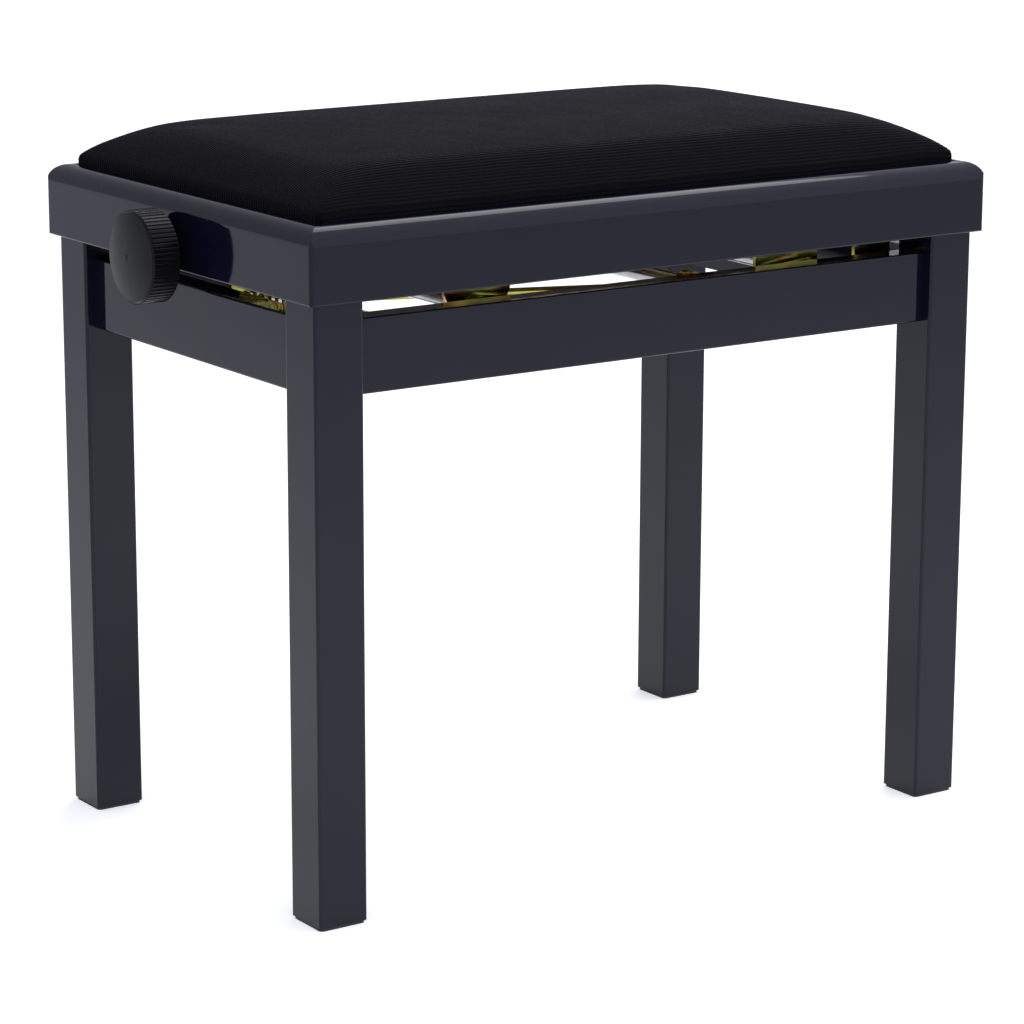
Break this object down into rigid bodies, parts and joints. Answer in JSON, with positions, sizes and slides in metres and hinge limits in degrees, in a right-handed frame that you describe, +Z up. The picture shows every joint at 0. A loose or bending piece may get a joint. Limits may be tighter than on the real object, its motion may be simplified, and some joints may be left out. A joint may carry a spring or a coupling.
{
  "type": "piano bench",
  "caption": "Height-adjustable piano bench: square-leg lacquered base, scissor lift driven by a spindle with side knobs, and a crowned ribbed-fabric seat.",
  "frame": {"origin": "on the floor, under the middle of the seat", "axes": "+X along the bench's length, +Y towards the back, +Z up; the front faces -Y"},
  "size_m": [0.6152, 0.35, 0.492],
  "materials": {
    "black_lacquer": "high-gloss black lacquer",
    "raw_wood": "planed beech",
    "plywood": "black-stained plywood",
    "pad_fabric": "ribbed black velvet",
    "black_plastic": "satin black moulding",
    "glide_plastic": "matt black",
    "yellow_zinc": "yellow zinc plate",
    "bright_steel": "ground steel",
    "fastener_zinc": "zinc plate",
    "bronze": "machined bronze"
  },
  "bodies": {
    "base": {"leg_front_left": "black_lacquer", "leg_front_right": "black_lacquer", "leg_back_left": "black_lacquer", "leg_back_right": "black_lacquer", "glide_front_left": "glide_plastic", "glide_front_right": "glide_plastic", "glide_back_left": "glide_plastic", "glide_back_right": "glide_plastic", "apron_front": "black_lacquer", "apron_back": "black_lacquer", "apron_left": "black_lacquer", "apron_right": "black_lacquer", "corner_block_front_left": "raw_wood", "corner_block_front_right": "raw_wood", "corner_block_back_left": "raw_wood", "corner_block_back_right": "raw_wood", "hanger_bolts": "fastener_zinc", "hanger_washers": "fastener_zinc", "hanger_nuts": "fastener_zinc", "lower_rail_front": "yellow_zinc", "lower_rail_back": "yellow_zinc", "lower_rail_screws": "fastener_zinc", "spring_anchor": "yellow_zinc", "spring_anchor_screws": "fastener_zinc", "assist_spring": "yellow_zinc"},
    "outer_arms": {"outer_arm_front": "yellow_zinc", "outer_arm_back": "yellow_zinc", "lower_pivot_bar": "bright_steel", "upper_slide_bar": "bright_steel", "slide_bar_nuts": "fastener_zinc"},
    "inner_arms": {"inner_arm_front": "yellow_zinc", "inner_arm_back": "yellow_zinc", "centre_pins": "bright_steel", "upper_pivot_bar": "bright_steel", "pivot_bar_nuts": "fastener_zinc", "lower_slide_bar": "bright_steel"},
    "seat": {"upper_rail_front": "yellow_zinc", "upper_rail_back": "yellow_zinc", "upper_rail_screws": "fastener_zinc", "seat_rail_front": "black_lacquer", "seat_rail_back": "black_lacquer", "seat_rail_left": "black_lacquer", "seat_rail_right": "black_lacquer", "seat_corner_blocks": "raw_wood", "seat_board": "plywood", "seat_board_screws": "fastener_zinc", "seat_pad": "pad_fabric", "bearing_plate_left": "bright_steel", "bearing_plate_right": "bright_steel", "bearing_screws": "fastener_zinc"},
    "nut": {"nut_block": "bronze"},
    "spring_pull": {"spring_rod": "yellow_zinc"},
    "spindle_unit": {"spindle": "yellow_zinc", "knob_left": "black_plastic", "knob_right": "black_plastic", "knob_set_screws": "bright_steel"}
  },
  "joints": [
    {"name": "scissor_lift", "type": "hinge", "parent": "base", "child": "outer_arms", "pos_m": [-0.12, 0, 0.359], "axis": [0, -1, 0], "range_deg": [0, 19.85], "deforming": ["assist_spring"]},
    {"name": "centre_pivot", "type": "hinge", "parent": "outer_arms", "child": "inner_arms", "pos_m": [0.01517, 0, 0.374], "axis": [0, -1, 0], "range_deg": [-39.8, 0]},
    {"name": "seat_pivot", "type": "hinge", "parent": "inner_arms", "child": "seat", "pos_m": [-0.12, 0, 0.389], "axis": [0, -1, 0], "range_deg": [0, 19.95]},
    {"name": "nut_pivot", "type": "hinge", "parent": "outer_arms", "child": "nut", "pos_m": [0.15034, 0, 0.389], "axis": [0, -1, 0], "range_deg": [-19.95, 0]},
    {"name": "spring_pull_pivot", "type": "hinge", "parent": "inner_arms", "child": "spring_pull", "pos_m": [0.15034, 0, 0.359], "axis": [0, -1, 0], "range_deg": [0, 19.95]},
    {"name": "spindle_turn", "type": "hinge", "parent": "seat", "child": "spindle_unit", "pos_m": [0, 0, 0.42], "axis": [1, 0, 0], "range_deg": [0, 1892]}
  ],
  "couplings": [
    {"joint": "centre_pivot", "follows": "scissor_lift", "ratio": -2},
    {"joint": "seat_pivot", "follows": "scissor_lift", "ratio": 1},
    {"joint": "nut_pivot", "follows": "scissor_lift", "ratio": -1},
    {"joint": "spring_pull_pivot", "follows": "scissor_lift", "ratio": 1},
    {"joint": "spindle_turn", "follows": "scissor_lift", "ratio": 95.2}
  ]
}
